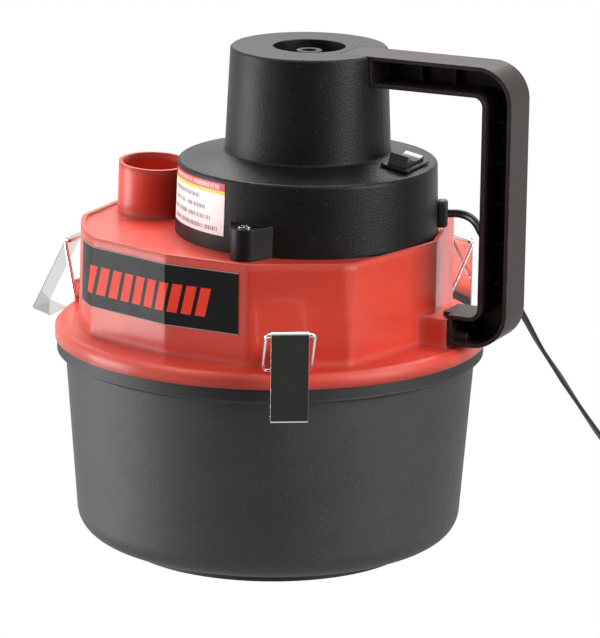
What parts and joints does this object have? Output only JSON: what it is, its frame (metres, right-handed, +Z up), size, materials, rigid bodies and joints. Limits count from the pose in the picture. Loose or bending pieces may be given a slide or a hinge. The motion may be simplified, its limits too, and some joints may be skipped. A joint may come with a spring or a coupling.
{
  "type": "canister shop vacuum",
  "caption": "Small wet and dry canister vacuum: tapered black tub, glossy red lid with a hose port and latches, stepped motor housing, loop handle and a power lead.",
  "frame": {"origin": "centre of the tub's foot ring, on the floor", "axes": "+Z up, +X toward the handle, -X toward the hose port"},
  "size_m": [0.4014, 0.4112, 0.2827],
  "materials": {
    "black_satin_plastic": "moulded, fine satin grain",
    "red_gloss_plastic": "moulded, high gloss",
    "black_grain_plastic": "moulded, spark-eroded grain",
    "black_gloss_plastic": "polished black",
    "black_rubber": "matte",
    "dark_inner_plastic": "moulded, plain",
    "white_inner_plastic": "moulded, plain",
    "grey_foam": "open-cell foam",
    "polished_steel": "nickel plated, mirror-bright",
    "zinc_steel": "zinc plated",
    "copper_winding": "enamelled copper",
    "brass_metal": "plain",
    "ferrite": "sintered",
    "orange_epoxy": "dipped coating",
    "red_wire": "PVC insulation",
    "panel_sticker": "printed film",
    "white_sticker": "printed label",
    "black_pvc": "PVC, satin",
    "glass_fuse_body": "clear"
  },
  "bodies": {
    "tub": {"tub": "black_satin_plastic"},
    "head": {"lid": "red_gloss_plastic", "lid_gasket": "black_rubber", "inlet_deflector": "red_gloss_plastic", "filter_cage": "dark_inner_plastic", "cage_screws": "zinc_steel", "foam_filter": "grey_foam", "filter_band": "black_rubber", "fan_plate": "dark_inner_plastic", "fan_plate_screws": "zinc_steel", "motor_can": "zinc_steel", "motor_magnets": "ferrite", "motor_end_cap": "dark_inner_plastic", "motor_brushes": "ferrite", "motor_bushes": "brass_metal", "motor_terminals": "brass_metal", "noise_suppressor": "orange_epoxy", "motor_housing": "black_grain_plastic", "housing_screws": "polished_steel", "top_screw": "polished_steel", "handle": "black_satin_plastic", "handle_screws": "zinc_steel", "switch_frame": "black_gloss_plastic", "switch_terminals": "brass_metal", "internal_leads": "red_wire", "lead_grommet": "black_rubber", "brand_panel": "panel_sticker", "rating_label": "white_sticker", "power_lead": "black_pvc", "lead_coil": "black_pvc", "coil_tie": "black_pvc", "lead_tail": "black_pvc", "plug_boot": "black_rubber", "plug_body": "black_satin_plastic", "plug_cap": "black_satin_plastic", "plug_side_contacts": "polished_steel"},
    "rotor": {"motor_shaft": "zinc_steel", "armature": "copper_winding", "commutator": "copper_winding", "impeller": "dark_inner_plastic", "impeller_nut": "zinc_steel"},
    "float": {"float": "white_inner_plastic"},
    "rocker": {"switch_rocker": "black_gloss_plastic"},
    "front_bail": {"front_bail": "polished_steel"},
    "front_lever": {"front_lever": "polished_steel"},
    "rear_bail": {"rear_bail": "polished_steel"},
    "rear_lever": {"rear_lever": "polished_steel"},
    "port_side_bail": {"port_side_bail": "polished_steel"},
    "port_side_lever": {"port_side_lever": "polished_steel"},
    "plug_contact": {"plug_tip": "polished_steel", "plug_fuse": "glass_fuse_body", "plug_spring": "zinc_steel"}
  },
  "joints": [
    {"name": "head_lift", "type": "slide", "parent": "tub", "child": "head", "axis": [0, 0, 1], "range_m": [0, 0.12]},
    {"name": "impeller_spin", "type": "hinge", "parent": "head", "child": "rotor", "pos_m": [0.0213, 0, 0.195], "axis": [0, 0, 1], "continuous": true},
    {"name": "float_rise", "type": "slide", "parent": "head", "child": "float", "axis": [0, 0, 1], "range_m": [0, 0.062]},
    {"name": "switch_rock", "type": "hinge", "parent": "head", "child": "rocker", "pos_m": [0.0793, 0, 0.2226], "axis": [0.9817, 0, -0.1903], "range_deg": [0, 18]},
    {"name": "front_bail_swing", "type": "hinge", "parent": "head", "child": "front_bail", "pos_m": [0.05775, -0.10003, 0.128], "axis": [0.866, 0.5, 0], "range_deg": [-47, 13]},
    {"name": "front_lever_swing", "type": "hinge", "parent": "front_bail", "child": "front_lever", "pos_m": [0.06841, -0.11849, 0.15253], "axis": [0.866, 0.5, 0], "range_deg": [-110, 5]},
    {"name": "rear_bail_swing", "type": "hinge", "parent": "head", "child": "rear_bail", "pos_m": [0.05775, 0.10003, 0.128], "axis": [-0.866, 0.5, 0], "range_deg": [-35, 6]},
    {"name": "rear_lever_swing", "type": "hinge", "parent": "rear_bail", "child": "rear_lever", "pos_m": [0.06563, 0.11367, 0.15643], "axis": [-0.866, 0.5, 0], "range_deg": [-110, 1]},
    {"name": "port_side_bail_swing", "type": "hinge", "parent": "head", "child": "port_side_bail", "pos_m": [-0.1155, 0, 0.128], "axis": [0, -1, 0], "range_deg": [-16, 42]},
    {"name": "port_side_lever_swing", "type": "hinge", "parent": "port_side_bail", "child": "port_side_lever", "pos_m": [-0.12198, 0, 0.15985], "axis": [0, -1, 0], "range_deg": [-110, 2]},
    {"name": "plug_tip_press", "type": "slide", "parent": "head", "child": "plug_contact", "axis": [-0.2588, 0.9659, 0], "range_m": [0, 0.0015], "stiffness_N_per_m": 2000}
  ]
}
